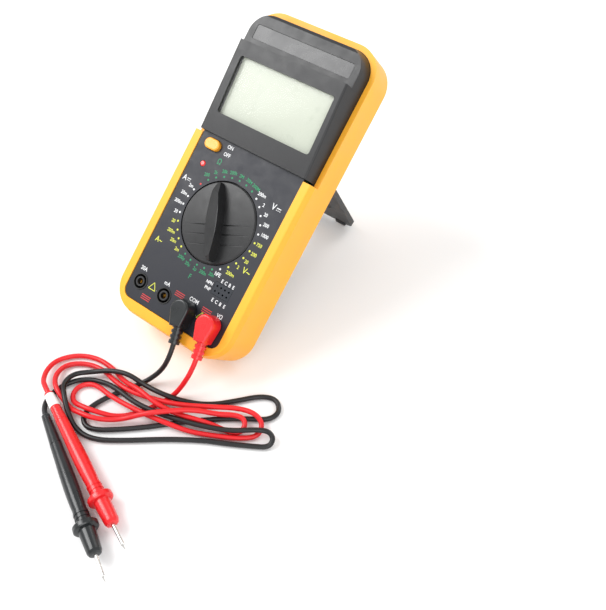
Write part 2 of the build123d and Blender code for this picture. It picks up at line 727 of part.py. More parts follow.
with BuildPart() as battery_door:
    with BuildSketch(level(REAR_Z)):
        with Locations((0, (DOOR_Y0 + DOOR_Y1) / 2)):
            Rectangle(DOOR_W, DOOR_Y1 - DOOR_Y0)
        with Locations((0, DOOR_Y1 - 4)):
            Circle(1.6, mode=Mode.SUBTRACT)
    extrude(amount=2.0)
write(battery_door, "battery_door")

with BuildPart() as door_screw:
    with BuildSketch(level(REAR_Z + 0.2)):
        with Locations((0, DOOR_Y1 - 4)):
            Circle(1.5)
    extrude(amount=2.2)
    with BuildSketch(level(REAR_Z + 0.2)):
        with Locations((0, DOOR_Y1 - 4)):
            Rectangle(2.2, 0.5)
            Rectangle(0.5, 2.2)
    extrude(amount=0.6, mode=Mode.SUBTRACT)
write(door_screw, "door_screw")

with BuildPart() as battery:
    with BuildSketch(level(4.7)):
        with Locations((-3, BATTERY_Y0 + 10.9)):
            RectangleRounded(46.4, 21.8, 2.0)
    extrude(amount=17.0)
    with BuildSketch(Plane.YZ.offset(20.2)):
        with Locations((BATTERY_Y0 + 5.0, 13.2), (BATTERY_Y0 + 16.8, 13.2)):
            Circle(2.6)
    extrude(amount=2.0)
write(battery, "battery")

with BuildPart() as battery_snap:
    with BuildSketch(Plane.YZ.offset(22.3)):
        with Locations((BATTERY_Y0 + 10.9, 13.2)):
            RectangleRounded(20.5, 11.0, 2.5)
    extrude(amount=3.0)
write(battery_snap, "battery_snap")

with BuildPart() as battery_wires:
    for wire_y in (-1.0, 1.0):
        start = (25.3, BATTERY_Y0 + 2.5 + wire_y, 13.2)
        with BuildPart() as wire:
            with BuildLine():
                FilletPolyline(start, (30.0 + wire_y, start[1], 13.2), (30.0 + wire_y, 149.0 + wire_y, 13.2),
                               (30.0 + wire_y, 149.0 + wire_y, BOARD_Z), radius=1.4)
            with BuildSketch(Plane(origin=start, z_dir=(1, 0, 0))):
                Circle(0.6)
            sweep()
write(battery_wires, "battery_wires")

# ---- tilt stand ----
# Built folded, with its pivot at the origin and its leg along -Y, then swung open.
STAND_AT = STOOD * Location((0, PIVOT_Y, PIVOT_Z), (STAND_OPEN, 0, 0))
PLATE_END = LEG + 0.4

with BuildPart() as tilt_stand:
    with BuildSketch(level(-STAND_T / 2)):
        with Locations((0, 0)):
            Rectangle(STAND_W, PLATE_END, align=(Align.CENTER, Align.MAX))
        with Locations((0, -LEG * 0.5)):
            RectangleRounded(STAND_W - 22, LEG * 0.56, 6, mode=Mode.SUBTRACT)
    extrude(amount=STAND_T)
    fillet(tilt_stand.edges().filter_by(Axis.Z).group_by(Axis.Y)[0], radius=6)
    with BuildSketch(Plane.YZ.offset(-STAND_W / 2)):
        Circle(STAND_T / 2)
    extrude(amount=STAND_W)
    with BuildSketch(Plane.YZ.offset(-STAND_W / 2 - 1.7)):
        Circle(PIN_R)
    extrude(amount=STAND_W + 3.4)
    for foot_side in (-1, 1):
        with BuildSketch(Plane.YZ.offset(foot_side * FOOT_X)):
            with Locations((-LEG, 0)):
                Circle(FOOT_R)
        extrude(amount=foot_side * FOOT_W, mode=Mode.SUBTRACT)
write(tilt_stand, "tilt_stand", STAND_AT)

with BuildPart() as stand_feet:
    for foot_side in (-1, 1):
        with BuildSketch(Plane.YZ.offset(foot_side * FOOT_X)):
            with Locations((-LEG, 0)):
                Circle(FOOT_R)
        extrude(amount=foot_side * FOOT_W)
write(stand_feet, "stand_feet", STAND_AT)

# ---- test leads: plugs ----
# Each plug is built with its pin on the Z axis and its cable leaving along -Y.
PLUG_BASE = JACK_TOP + 0.3
PLUG_TOP = 40.8
PLUG_R = 6.0
NECK_Z = 35.2
NECK_Y = -10.5
RELIEF_Y = -20.5             # end of the ribbed strain relief
RELIEF_R = 3.6
PIN_PLUG_R = 1.9
PIN_END = BOARD_TOP + 1.3
BLACK_PLUG_AT = STOOD * Location((JACK_XS[2], JACK_Y, 0), (0, 0, 12.6))
RED_PLUG_AT = STOOD * Location((JACK_XS[3], JACK_Y, 0), (0, 0, 8.6))


def plug_body():
    """Plug head with its shroud and strain relief, around the plug's pin."""
    with BuildPart() as body:
        with BuildSketch(level(PLUG_BASE)):
            with BuildLine():
                ThreePointArc((5.9, -1.1), (0, PLUG_R), (-5.9, -1.1))
                Polyline((-5.9, -1.1), (-3.7, NECK_Y), (3.7, NECK_Y), (5.9, -1.1))
            make_face()
        extrude(amount=PLUG_TOP - PLUG_BASE)
        fillet(body.faces().sort_by(Axis.Z)[-1].edges(), radius=1.5)
        # strain relief, turned about the cable's line
        with BuildSketch(Plane.YZ):
            with BuildLine():
                Polyline((NECK_Y + 2, NECK_Z), (NECK_Y + 2, NECK_Z + RELIEF_R), (RELIEF_Y, NECK_Z + RELIEF_R - 0.3),
                         (RELIEF_Y, NECK_Z), close=True)
            make_face()
            for rib in range(3):
                with Locations((NECK_Y - 1.2 - 3.0 * rib, NECK_Z + RELIEF_R)):
                    Rectangle(1.4, 1.8, mode=Mode.SUBTRACT)
        revolve(axis=Axis((0, 0, NECK_Z), (0, 1, 0)))
        with BuildSketch(level(BOARD_TOP + 3)):
            Circle(GROOVE_R - 0.1)
            Circle(POST_R + 0.1, mode=Mode.SUBTRACT)
        extrude(amount=PLUG_BASE - BOARD_TOP - 3)
        with BuildSketch(level(PLUG_BASE)):
            Circle(PIN_PLUG_R)
        extrude(amount=3.0, mode=Mode.SUBTRACT)
    return body


write(plug_body(), "black_plug", BLACK_PLUG_AT)
write(plug_body(), "red_plug", RED_PLUG_AT)


def plug_pin():
    """The 4 mm contact pin inside one plug."""
    with BuildPart() as pin:
        with BuildSketch(level(PIN_END)):
            Circle(PIN_PLUG_R)
        extrude(amount=PLUG_BASE + 3.0 - PIN_END)
        chamfer(pin.faces().sort_by(Axis.Z)[0].edges(), length=0.4)
    return pin


write(plug_pin(), "black_plug_pin", BLACK_PLUG_AT)
write(plug_pin(), "red_plug_pin", RED_PLUG_AT)

# ---- test leads: probes ----
# Each probe is built along X with its cable end at the origin, then laid down.
CAP_L = 22.0
GUARD_X = 78.0
NOSE_X = 95.0
PROBE_L = 111.0
TIP_R = 1.0
RED_BACK = (-32.2, -149.9, 6.8)
RED_HEADING = -21.3
BLACK_BACK = (-24.1, -160.1, 3.3)
BLACK_HEADING = -25.7
BLACK_RISE = 2.6
RED_PROBE_AT = Location(RED_BACK, (0, 0, RED_HEADING))
BLACK_PROBE_AT = Location(BLACK_BACK) * Location((0, 0, 0), (0, 0, BLACK_HEADING))
BLACK_PROBE_AT = BLACK_PROBE_AT * Location((0, 0, 0), (0, -BLACK_RISE, 0))

with BuildPart() as probe_cap:
    with BuildSketch(Plane.XZ):
        with BuildLine():
            Polyline((0, 0), (0, 2.1), (0.5, 2.45), (CAP_L - 0.4, 3.3), (CAP_L, 2.95), (CAP_L, 0), close=True)
        make_face()
    revolve(axis=Axis.X)
write(probe_cap, "red_probe_cap", RED_PROBE_AT)
write(probe_cap, "black_probe_cap", BLACK_PROBE_AT)

with BuildPart() as probe_handle:
    with BuildSketch(Plane.XZ):
        with BuildLine():
            Line((CAP_L, 2.95), (CAP_L + 0.4, 3.4))
            Spline((CAP_L + 0.4, 3.4), (38, 3.85), (55, 4.2), (67.0, 3.75))
            Polyline((67.0, 3.75), (69.0, 3.75), (69.0, 4.1), (70.4, 4.1), (70.4, 3.75), (71.6, 3.75),
                     (71.6, 4.1), (73.0, 4.1), (73.0, 3.75), (74.2, 3.75), (74.2, 4.1), (75.6, 4.1),
                     (76.4, 6.2), (77.0, 6.8), (79.2, 6.8), (79.8, 6.2), (80.2, 4.6))
            Polyline((80.2, 4.6), (NOSE_X - 2.0, 3.95), (NOSE_X - 0.5, 3.3), (NOSE_X, 2.2), (NOSE_X, 0),
                     (CAP_L, 0), (CAP_L, 2.95))
        make_face()
    revolve(axis=Axis.X)
    with BuildSketch(Plane.YZ.offset(NOSE_X - 5)):
        Circle(TIP_R)
    extrude(amount=6, mode=Mode.SUBTRACT)
write(probe_handle, "red_probe_handle", RED_PROBE_AT)
write(probe_handle, "black_probe_handle", BLACK_PROBE_AT)

with BuildPart() as probe_tip:
    with BuildSketch(Plane.XZ):
        with BuildLine():
            Polyline((NOSE_X - 5, 0), (NOSE_X - 5, TIP_R), (PROBE_L - 3.4, TIP_R), (PROBE_L - 0.3, 0.25),
                     (PROBE_L, 0), close=True)
        make_face()
    revolve(axis=Axis.X)
write(probe_tip, "red_probe_tip", RED_PROBE_AT)
write(probe_tip, "black_probe_tip", BLACK_PROBE_AT)

# blank paper label wrapped round the red cap
with BuildPart() as probe_label:
    with BuildSketch(Plane.XZ):
        with BuildLine():
            Polyline((2.0, 2.55), (2.0, 2.78), (11.5, 3.17), (11.5, 2.94), close=True)
        make_face()
    revolve(axis=Axis.X)
write(probe_label, "probe_label", RED_PROBE_AT)

# ---- test leads: cords ----
# Heights of a cord's centre line: on the table, over one cord, over two.
LEAD_R = 1.5
LAY = 1.6
OVER = 5.0
HIGH = 8.4


def leaves(plug_at):
    """Where a cord leaves its plug, and a point a little further along that line."""
    first = (plug_at * Location((0, RELIEF_Y, NECK_Z))).position
    second = (plug_at * Location((0, RELIEF_Y - 6.6, NECK_Z))).position
    return [tuple(first), tuple(second)]


def enters(probe_at):
    """A point a little behind a probe's cap, on the probe's axis, and the end of the cap."""
    return [tuple((probe_at * Location((-5.5, 0, 0))).position), tuple(probe_at.position)]


BLACK_ROUTE = leaves(BLACK_PLUG_AT) + [
    (12, -100, HIGH + 3), (6, -107, LAY + 2), (1, -115, LAY), (-5, -127, LAY), (-9, -139, LAY),
    (-8, -147, LAY), (-2, -151, LAY), (5, -149, LAY), (15, -141, LAY), (29, -128, LAY),
    (41, -115, LAY), (54, -103, LAY), (68, -92, LAY), (79, -85, LAY), (81, -77, LAY),
    (74, -71, LAY), (65, -75, LAY), (56, -86, LAY), (45, -98, LAY), (32, -106, LAY + 2),
    (20, -111, OVER + 2), (8, -112, OVER + 1), (-4, -113, HIGH), (-15, -117, OVER + 2),
    (-25, -123, LAY + 2), (-32, -131, OVER), (-31, -140, OVER + 1), (-23, -146, OVER + 2),
    (-14, -152, LAY + 2), (-3, -156, LAY), (9, -154, LAY), (23, -144, LAY), (40, -130, LAY),
    (57, -118, LAY), (72, -110, LAY), (82, -104, LAY), (90, -99, LAY), (90, -94, LAY + 2),
    (85, -92, OVER), (78, -97, OVER + 1), (69, -104, OVER), (58, -110, OVER), (43, -116, OVER),
    (27, -121, OVER), (11, -124, OVER), (-5, -123, OVER), (-18, -124, LAY), (-28, -130, LAY),
    (-33, -139, LAY), (-34, -149, LAY),
] + enters(BLACK_PROBE_AT)
RED_ROUTE = leaves(RED_PLUG_AT) + [
    (28, -101, HIGH + 1), (24, -107, LAY), (21, -116, LAY), (16, -127, LAY), (8, -136, LAY),
    (-1, -141, LAY + 3), (-11, -144, OVER), (-19, -144, LAY + 1), (-24, -140, LAY),
    (-25, -134, LAY), (-21, -129, LAY), (-14, -128, LAY + 2), (-4, -129, OVER), (8, -128, OVER),
    (21, -126, OVER), (35, -123, OVER), (48, -118, LAY), (62, -111, LAY), (74, -104, LAY),
    (81, -97, LAY), (79, -90, LAY + 2), (72, -88, OVER + 1), (61, -91, OVER), (48, -100, OVER),
    (34, -109, OVER), (20, -115, OVER), (4, -120, OVER), (-9, -120, OVER - 0.5), (-22, -117, LAY),
    (-34, -120, LAY), (-43, -128, LAY), (-41, -138, LAY + 2), (-32, -145, OVER + 1),
    (-18, -148, LAY), (-10, -148, OVER), (2, -145, OVER), (12, -136, LAY + 1), (22, -128, HIGH),
    (33, -118, HIGH + 1), (44, -108, HIGH), (55, -101, OVER), (62, -96, OVER), (68, -94, OVER),
    (72, -97, LAY + 2), (71, -102, LAY), (65, -105, LAY), (56, -107, LAY + 1), (47, -111, OVER),
    (36, -115, OVER), (23, -118, HIGH - 1), (9, -117, HIGH), (-4, -117, OVER), (-17, -113, LAY),
    (-31, -113, LAY), (-43, -119, LAY), (-50, -129, LAY), (-48, -138, LAY + 2), (-43, -145, OVER),
] + enters(RED_PROBE_AT)


def bend_radii(route):
    """A bend at every corner that uses 0.45 of its shorter run."""
    radii = []
    for i in range(1, len(route) - 1):
        before = Vector(*route[i]) - Vector(*route[i - 1])
        after = Vector(*route[i + 1]) - Vector(*route[i])
        half_turn = math.radians(before.get_angle(after)) / 2
        radii.append(0.45 * min(before.length, after.length) / math.tan(half_turn))
    return radii


def cord(route, label):
    radii = bend_radii(route)
    with BuildPart() as tube:
        with BuildLine() as line:
            FilletPolyline(*route, radius=radii)
        path = line.wire()
        with BuildSketch(Plane(origin=route[0], z_dir=path % 0)):
            Circle(LEAD_R)
        sweep()
    expected = math.pi * LEAD_R ** 2 * path.length
    print(label, "length", round(path.length, 1), "volume", round(tube.part.volume, 1),
          "section x length", round(expected, 1))
    print("   radii", [round(radius, 1) for radius in radii])
    write(tube, label, Location())


cord(BLACK_ROUTE, "black_lead")
cord(RED_ROUTE, "red_lead")
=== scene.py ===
"""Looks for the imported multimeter: its two cords, the printed panel, materials, light and camera."""
import json
import math

import bpy
from mathutils import Matrix, Vector


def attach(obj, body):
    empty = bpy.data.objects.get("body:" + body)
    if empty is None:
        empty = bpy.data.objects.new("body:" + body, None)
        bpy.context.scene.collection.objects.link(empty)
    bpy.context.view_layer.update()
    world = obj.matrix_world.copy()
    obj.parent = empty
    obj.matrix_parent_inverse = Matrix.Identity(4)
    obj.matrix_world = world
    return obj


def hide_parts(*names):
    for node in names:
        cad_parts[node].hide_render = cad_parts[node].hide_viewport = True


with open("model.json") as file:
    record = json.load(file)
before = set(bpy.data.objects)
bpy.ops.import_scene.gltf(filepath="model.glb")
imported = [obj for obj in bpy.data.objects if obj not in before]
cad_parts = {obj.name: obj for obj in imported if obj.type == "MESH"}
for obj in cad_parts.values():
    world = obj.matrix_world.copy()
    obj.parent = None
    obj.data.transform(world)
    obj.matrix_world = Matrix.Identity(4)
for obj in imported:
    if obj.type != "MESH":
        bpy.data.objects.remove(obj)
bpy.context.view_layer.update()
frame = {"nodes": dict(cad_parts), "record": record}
nodes = frame["nodes"]
record = frame["record"]
MM = 0.001

# The meter is drawn lying flat, in millimetres, and stood up on its stand.
LEAN = math.radians(39.5)
DROP = 2.0 * (math.sin(LEAN) + math.cos(LEAN) - 1)
STOOD = Matrix.Translation((0, -67 * MM, -DROP * MM)) @ Matrix.Rotation(LEAN, 4, "X")
PANEL_Z = 30.4
KNOB = (0.4, 73.2)
JACK_XS = (-29.2, -10.15, 8.9, 27.95)
JACK_Y = 20.0

# ---- camera ----
AZIMUTH = math.radians(37)
ELEVATION = math.radians(50)
cam_data = bpy.data.cameras.new("camera")
cam_data.lens = 47.2
cam_data.sensor_width = 36.0
cam_data.clip_start = 0.01
cam_data.clip_end = 20
camera = bpy.data.objects.new("camera", cam_data)
bpy.context.scene.collection.objects.link(camera)
back = Vector((
    math.sin(AZIMUTH) * math.cos(ELEVATION),
    -math.cos(AZIMUTH) * math.cos(ELEVATION),
    math.sin(ELEVATION),
))
camera.location = (0.2413, -0.2677, 0.3943)
camera.rotation_mode = "QUATERNION"
camera.rotation_quaternion = back.to_track_quat("Z", "Y")
bpy.context.scene.camera = camera

# ---- cords: control points of each smooth line, in millimetres ----
LAY = 1.6
OVER = 5.0
HIGH = 8.4
LEAD_D = 3.0
RELIEF_END = 20.5
NECK_Z = 35.2
PROBE_RUN = 5.5


def plug_line(jack_x, turn, reach):
    """A point on the line along which a cord leaves its plug."""
    angle = math.radians(turn)
    x = jack_x + reach * math.sin(angle)
    y = JACK_Y - reach * math.cos(angle)
    point = STOOD @ Vector((x * MM, y * MM, NECK_Z * MM))
    return tuple(point / MM)


def leaves(jack_x, turn):
    return [plug_line(jack_x, turn, RELIEF_END), plug_line(jack_x, turn, RELIEF_END + 6.6)]


def enters(probe_back, heading, rise):
    """A point PROBE_RUN behind a probe's cap, on the probe's axis, and the end of the cap."""
    turn = math.radians(heading)
    tilt = math.radians(rise)
    along = Vector((
        math.cos(turn) * math.cos(tilt),
        math.sin(turn) * math.cos(tilt),
        math.sin(tilt),
    ))
    end = Vector(probe_back)
    return [tuple(end - PROBE_RUN * along), tuple(end)]


BLACK_ROUTE = leaves(JACK_XS[2], 12.6) + [
    (12, -100, HIGH + 3), (6, -107, LAY + 2), (1, -115, LAY), (-5, -127, LAY), (-9, -139, LAY),
    (-8, -147, LAY), (-2, -151, LAY), (5, -149, LAY), (15, -141, LAY), (29, -128, LAY),
    (41, -115, LAY), (54, -103, LAY), (68, -92, LAY), (79, -85, LAY), (81, -77, LAY),
    (74, -71, LAY), (65, -75, LAY), (56, -86, LAY), (45, -98, LAY), (32, -106, LAY + 2),
    (20, -111, OVER + 2), (8, -112, OVER + 1), (-4, -113, HIGH), (-15, -117, OVER + 2),
    (-25, -123, LAY + 2), (-32, -131, OVER), (-31, -140, OVER + 1), (-23, -146, OVER + 2),
    (-14, -152, LAY + 2), (-3, -156, LAY), (9, -154, LAY), (23, -144, LAY), (40, -130, LAY),
    (57, -118, LAY), (72, -110, LAY), (82, -104, LAY), (90, -99, LAY), (90, -94, LAY + 2),
    (85, -92, OVER), (78, -97, OVER + 1), (69, -104, OVER), (58, -110, OVER), (43, -116, OVER),
    (27, -121, OVER), (11, -124, OVER), (-5, -123, OVER), (-18, -124, LAY), (-28, -130, LAY),
    (-33, -139, LAY), (-34, -149, LAY),
] + enters((-24.1, -160.1, 3.3), -25.7, 2.6)
RED_ROUTE = leaves(JACK_XS[3], 8.6) + [
    (28, -101, HIGH + 1), (24, -107, LAY), (21, -116, LAY), (16, -127, LAY), (8, -136, LAY),
    (-1, -141, LAY + 3), (-11, -144, OVER), (-19, -144, LAY + 1), (-24, -140, LAY),
    (-25, -134, LAY), (-21, -129, LAY), (-14, -128, LAY + 2), (-4, -129, OVER), (8, -128, OVER),
    (21, -126, OVER), (35, -123, OVER), (48, -118, LAY), (62, -111, LAY), (74, -104, LAY),
    (81, -97, LAY), (79, -90, LAY + 2), (72, -88, OVER + 1), (61, -91, OVER), (48, -100, OVER),
    (34, -109, OVER), (20, -115, OVER), (4, -120, OVER), (-9, -120, OVER - 0.5), (-22, -117, LAY),
    (-34, -120, LAY), (-43, -128, LAY), (-41, -138, LAY + 2), (-32, -145, OVER + 1),
    (-18, -148, LAY), (-10, -148, OVER), (2, -145, OVER), (12, -136, LAY + 1), (22, -128, HIGH),
    (33, -118, HIGH + 1), (44, -108, HIGH), (55, -101, OVER), (62, -96, OVER), (68, -94, OVER),
    (72, -97, LAY + 2), (71, -102, LAY), (65, -105, LAY), (56, -107, LAY + 1), (47, -111, OVER),
    (36, -115, OVER), (23, -118, HIGH - 1), (9, -117, HIGH), (-4, -117, OVER), (-17, -113, LAY),
    (-31, -113, LAY), (-43, -119, LAY), (-50, -129, LAY), (-48, -138, LAY + 2), (-43, -145, OVER),
] + enters((-32.2, -149.9, 6.8), -21.3, 0)


def make_cord(name, route, node):
    curve = bpy.data.curves.new(name, "CURVE")
    curve.dimensions = "3D"
    curve.resolution_u = 10
    # a point's radius scales the bevel and widens the curve's bounds, so it holds the real radius
    curve.bevel_depth = 1
    curve.bevel_resolution = 6
    curve.use_fill_caps = True
    spline = curve.splines.new("NURBS")
    spline.points.add(len(route) - 1)
    for point, place in zip(spline.points, route):
        point.co = (place[0] * MM, place[1] * MM, place[2] * MM, 1)
        point.radius = LEAD_D / 2 * MM
    spline.order_u = 3
    spline.use_endpoint_u = True
    piece = bpy.data.objects.new(name, curve)
    bpy.context.scene.collection.objects.link(piece)
    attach(piece, "meter")
    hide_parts(node)
    return piece


black_cord = make_cord("black_cord", BLACK_ROUTE, "black_lead")
red_cord = make_cord("red_cord", RED_ROUTE, "red_lead")


# ---- materials ----
def material(name, color, rough, grain=900.0, bump=0.08, mottle=0.06, metal=0.0, coat=0.0,
             wear=0.0, specular=0.5, alpha=1.0, transmission=0.0, streaks=None, painted_glow=0.0):
    """Moulded or metal surface: grain bump, mottled colour, uneven roughness and worn edges."""
    mat = bpy.data.materials.new(name)
    mat.use_nodes = True
    tree = mat.node_tree
    tree.nodes.clear()
    new = tree.nodes.new
    link = tree.links.new
    out = new("ShaderNodeOutputMaterial")
    shader = new("ShaderNodeBsdfPrincipled")
    link(shader.outputs[0], out.inputs[0])
    shader.inputs["Metallic"].default_value = metal
    shader.inputs["Specular IOR Level"].default_value = specular
    shader.inputs["Coat Weight"].default_value = coat
    shader.inputs["Coat Roughness"].default_value = 0.12
    shader.inputs["Alpha"].default_value = alpha
    shader.inputs["Transmission Weight"].default_value = transmission
    coords = new("ShaderNodeTexCoord")
    space = coords.outputs["Object"]
    if streaks:
        stretch = new("ShaderNodeMapping")
        stretch.inputs["Scale"].default_value = streaks
        link(space, stretch.inputs[0])
        space = stretch.outputs[0]
    fine = new("ShaderNodeTexNoise")
    fine.inputs["Scale"].default_value = grain
    fine.inputs["Detail"].default_value = 4
    link(space, fine.inputs["Vector"])
    broad = new("ShaderNodeTexNoise")
    broad.inputs["Scale"].default_value = grain / 18
    broad.inputs["Detail"].default_value = 6
    link(space, broad.inputs["Vector"])
    ramp = new("ShaderNodeValToRGB")
    ramp.color_ramp.elements[0].position = 0.3
    ramp.color_ramp.elements[1].position = 0.7
    ramp.color_ramp.elements[0].color = [c * (1 - mottle) for c in color] + [1]
    ramp.color_ramp.elements[1].color = [min(1, c * (1 + mottle)) for c in color] + [1]
    link(broad.outputs["Fac"], ramp.inputs[0])
    tint = ramp.outputs[0]
    if wear:
        geometry = new("ShaderNodeNewGeometry")
        edge = new("ShaderNodeMapRange")
        edge.inputs["From Min"].default_value = 0.52
        edge.inputs["From Max"].default_value = 0.62
        edge.inputs["To Max"].default_value = wear
        link(geometry.outputs["Pointiness"], edge.inputs["Value"])
        worn = new("ShaderNodeMix")
        worn.data_type = "RGBA"
        link(edge.outputs[0], worn.inputs["Factor"])
        link(tint, worn.inputs["A"])
        worn.inputs["B"].default_value = [min(1, c * 1.6 + 0.05) for c in color] + [1]
        tint = worn.outputs["Result"]
    link(tint, shader.inputs["Base Color"])
    spread = new("ShaderNodeMapRange")
    spread.inputs["From Min"].default_value = 0.3
    spread.inputs["From Max"].default_value = 0.7
    spread.inputs["To Min"].default_value = max(0.02, rough - 0.06)
    spread.inputs["To Max"].default_value = min(1.0, rough + 0.06)
    link(broad.outputs["Fac"], spread.inputs["Value"])
    link(spread.outputs[0], shader.inputs["Roughness"])
    if bump:
        relief = new("ShaderNodeBump")
        relief.inputs["Strength"].default_value = bump
        relief.inputs["Distance"].default_value = 0.0002
        link(fine.outputs["Fac"], relief.inputs["Height"])
        link(relief.outputs[0], shader.inputs["Normal"])
    # painted glow: the surface's own colour is emitted, so the part shines though no light reaches it
    if painted_glow:
        link(tint, shader.inputs["Emission Color"])
        shader.inputs["Emission Strength"].default_value = painted_glow
    return mat


SLOTS = {
    "holster_rubber": material("holster_rubber", (0.98, 0.43, 0.028), 0.42, grain=1400, bump=0.10,
                               mottle=0.035, specular=0.38, wear=0.18),
    "case_plastic": material("case_plastic", (0.012, 0.0125, 0.014), 0.36, grain=2600, bump=0.20,
                             mottle=0.18, wear=0.05),
    "stand_plastic": material("stand_plastic", (0.035, 0.035, 0.036), 0.5, grain=2200, bump=0.22,
                              mottle=0.12, wear=0.08),
    "foot_rubber": material("foot_rubber", (0.02, 0.02, 0.021), 0.72, grain=1800, bump=0.25),
    "name_plate": material("name_plate", (0.010, 0.010, 0.012), 0.28, grain=1800, bump=0.04, coat=0.2),
    "panel_print": material("panel_print", (0.010, 0.0115, 0.019), 0.46, grain=3200, bump=0.10,
                            mottle=0.10),
    "clear_window": material("clear_window", (0.95, 0.97, 0.96), 0.06, grain=500, bump=0.01,
                             mottle=0.01, alpha=0.10, specular=0.5),
    "display_glass": material("display_glass", (0.46, 0.50, 0.385), 0.30, grain=1500, bump=0.02,
                              mottle=0.02, coat=0.25),
    "inner_plastic": material("inner_plastic", (0.014, 0.014, 0.015), 0.5, grain=2200, bump=0.15),
    "soft_rubber": material("soft_rubber", (0.16, 0.16, 0.17), 0.8, grain=1600, bump=0.2),
    "board": material("board", (0.02, 0.16, 0.06), 0.34, grain=700, bump=0.12, mottle=0.2),
    "steel": material("steel", (0.55, 0.55, 0.56), 0.34, grain=1500, bump=0.08, metal=1.0,
                      streaks=(1, 8, 1)),
    "chip_plastic": material("chip_plastic", (0.02, 0.02, 0.022), 0.55, grain=2400, bump=0.2),
    "components": material("components", (0.50, 0.34, 0.15), 0.4, grain=500, bump=0.1, mottle=0.3),
    "fuse_glass": material("fuse_glass", (0.9, 0.92, 0.9), 0.08, grain=600, bump=0.02, alpha=0.4),
    "plated_brass": material("plated_brass", (0.75, 0.62, 0.33), 0.25, grain=1800, bump=0.06,
                             metal=1.0, mottle=0.1),
    "copper_alloy": material("copper_alloy", (0.72, 0.40, 0.20), 0.3, grain=1500, bump=0.08,
                             metal=1.0, streaks=(8, 1, 1)),
    "shield": material("shield", (0.75, 0.75, 0.76), 0.4, grain=900, bump=0.15, metal=1.0),
    "socket_plastic": material("socket_plastic", (0.006, 0.010, 0.018), 0.42, grain=2600, bump=0.12),
    # the LED lens carries a faint painted glow, though the meter is switched off
    "lamp": material("lamp", (0.75, 0.03, 0.03), 0.16, grain=900, bump=0.03, coat=0.5, painted_glow=0.12),
    "button_plastic": material("button_plastic", (0.95, 0.40, 0.03), 0.3, grain=1800, bump=0.06,
                               mottle=0.04, coat=0.15),
    "knob_plastic": material("knob_plastic", (0.014, 0.0145, 0.0155), 0.38, grain=2600, bump=0.22,
                             mottle=0.15, wear=0.06),
    "rotor_plastic": material("rotor_plastic", (0.72, 0.71, 0.66), 0.5, grain=1500, bump=0.12),
    "polished_steel": material("polished_steel", (0.8, 0.8, 0.8), 0.12, grain=900, bump=0.02, metal=1.0),
    "battery_jacket": material("battery_jacket", (0.05, 0.05, 0.06), 0.3, grain=600, bump=0.05, metal=0.6),
    "wire_jacket": material("wire_jacket", (0.5, 0.02, 0.02), 0.45, grain=1500, bump=0.08),
    "black_gloss": material("black_gloss", (0.010, 0.0125, 0.014), 0.30, grain=1600, bump=0.10,
                            mottle=0.2, coat=0.15, wear=0.05),
    "red_gloss": material("red_gloss", (0.78, 0.012, 0.016), 0.28, grain=1600, bump=0.08,
                          mottle=0.06, coat=0.2),
    "plated_pin": material("plated_pin", (0.72, 0.71, 0.69), 0.22, grain=1800, bump=0.08, metal=1.0,
                           mottle=0.12),
    "black_lead": material("black_lead", (0.008, 0.008, 0.009), 0.40, grain=1500, bump=0.12, mottle=0.2),
    "red_lead": material("red_lead", (0.74, 0.010, 0.016), 0.38, grain=1500, bump=0.10, mottle=0.06),
    "paper": material("paper", (0.86, 0.86, 0.85), 0.82, grain=1800, bump=0.35, mottle=0.05,
                      specular=0.2),
}
for entry in record["subparts"]:
    mesh = nodes[entry["node"]].data
    mesh.materials.clear()
    mesh.materials.append(SLOTS[entry["material_slot"]])
black_cord.data.materials.append(SLOTS["black_lead"])
red_cord.data.materials.append(SLOTS["red_lead"])

INKS = {
    "white": material("ink_white", (0.82, 0.83, 0.84), 0.5, grain=2400, bump=0.04, mottle=0.05),
    "green": material("ink_green", (0.012, 0.26, 0.105), 0.5, grain=2400, bump=0.04, mottle=0.06),
    "yellow": material("ink_yellow", (0.70, 0.72, 0.075), 0.5, grain=2400, bump=0.04, mottle=0.05),
    "red": material("ink_red", (0.60, 0.03, 0.035), 0.5, grain=2400, bump=0.04, mottle=0.06),
}
printing = {ink: [] for ink in INKS}
INK_T = 0.02


def lay_flat(obj, x, y, turn=0.0, z=PANEL_Z):
    place = Matrix.Translation((x * MM, y * MM, (z + INK_T) * MM))
    obj.matrix_world = STOOD @ place @ Matrix.Rotation(math.radians(turn), 4, "Z")


def word(text, ink, x, y, size=2.6, turn=0.0, bold=0.05, stretch=0.86):
    """Printed characters centred on a place on the panel; size is their height."""
    curve = bpy.data.curves.new("word", "FONT")
    curve.body = text
    curve.size = size * 1.38 * MM
    curve.align_x = "CENTER"
    curve.align_y = "CENTER"
    curve.offset = bold * MM
    curve.extrude = INK_T / 2 * MM
    curve.resolution_u = 3
    obj = bpy.data.objects.new("word", curve)
    bpy.context.scene.collection.objects.link(obj)
    lay_flat(obj, x, y, turn)
    obj.matrix_world = obj.matrix_world @ Matrix.Diagonal((stretch, 1, 1, 1))
    printing[ink].append(obj)


def shape(ink, outlines, x=0.0, y=0.0, turn=0.0, z=PANEL_Z):
    """Printed flat shapes; each outline is a closed list of points, in millimetres."""
    mesh = bpy.data.meshes.new("shape")
    verts = []
    faces = []
    for outline in outlines:
        first = len(verts)
        count = len(outline)
        verts += [(px * MM, py * MM, INK_T / 2 * MM) for px, py in outline]
        verts += [(px * MM, py * MM, -INK_T / 2 * MM) for px, py in outline]
        faces.append([first + i for i in range(count)])
        faces.append([first + count + i for i in reversed(range(count))])
        for i in range(count):
            j = (i + 1) % count
            faces.append([first + i, first + count + i, first + count + j, first + j])
    mesh.from_pydata(verts, [], faces)
    mesh.validate()
    obj = bpy.data.objects.new("shape", mesh)
    bpy.context.scene.collection.objects.link(obj)
    lay_flat(obj, x, y, turn, z)
    printing[ink].append(obj)


